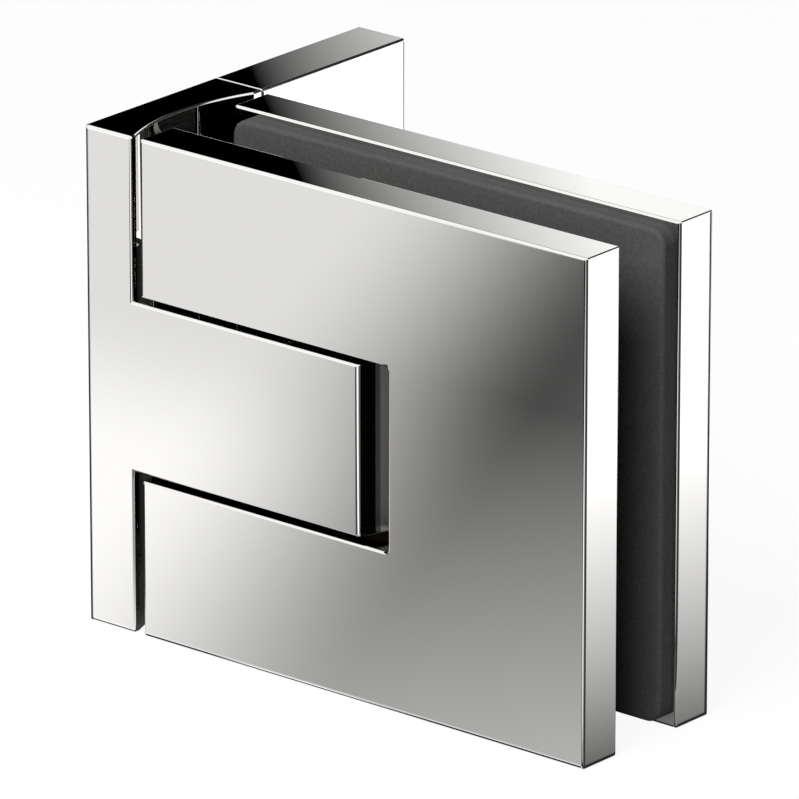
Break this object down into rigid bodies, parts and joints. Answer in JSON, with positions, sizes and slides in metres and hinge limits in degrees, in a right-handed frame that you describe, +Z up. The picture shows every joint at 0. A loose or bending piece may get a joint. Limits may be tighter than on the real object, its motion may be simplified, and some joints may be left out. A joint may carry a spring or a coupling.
{
  "type": "glass door hinge",
  "caption": "Square-edged wall-to-glass door hinge: a wall plate with a pivot tongue and a screw cover, and a plated glass clamp that swings both ways.",
  "frame": {"origin": "middle of the flat face that lies against the wall", "axes": "+X out from the wall, towards the glass; +Y along the wall, towards the screw cover; +Z up, along the pivot"},
  "size_m": [0.11, 0.0724, 0.09],
  "materials": {
    "polished_chrome": "mirror polished",
    "black_rubber": "matt, fine grain",
    "stainless_steel": "turned",
    "spring_steel": "drawn wire",
    "bearing_bronze": "turned",
    "machined_brass": "milled",
    "black_acetal": "turned"
  },
  "bodies": {
    "wall_bracket": {"wall_bracket": "polished_chrome", "cover_cap": "polished_chrome", "cover_screw_1": "stainless_steel", "cover_screw_2": "stainless_steel", "upper_bush": "bearing_bronze", "lower_bush": "bearing_bronze", "centring_plunger": "stainless_steel", "centring_spring": "spring_steel", "spring_plug": "stainless_steel"},
    "glass_clamp": {"front_plate": "polished_chrome", "rear_plate": "polished_chrome", "front_pad": "black_rubber", "rear_pad": "black_rubber", "pivot_pin": "stainless_steel", "upper_pin_holder": "machined_brass", "lower_pin_holder": "machined_brass", "upper_holder_screw": "stainless_steel", "lower_holder_screw": "stainless_steel", "upper_pin_lock_screw": "stainless_steel", "lower_pin_lock_screw": "stainless_steel", "upper_thrust_washer": "black_acetal", "lower_thrust_washer": "black_acetal", "clamp_screw_1": "stainless_steel", "clamp_screw_2": "stainless_steel", "clamp_screw_3": "stainless_steel", "clamp_screw_4": "stainless_steel"}
  },
  "joints": [
    {"name": "clamp_swing", "type": "hinge", "parent": "wall_bracket", "child": "glass_clamp", "pos_m": [0.046, -0.0195, 0], "axis": [0, 0, 1], "range_deg": [-90, 90]}
  ]
}
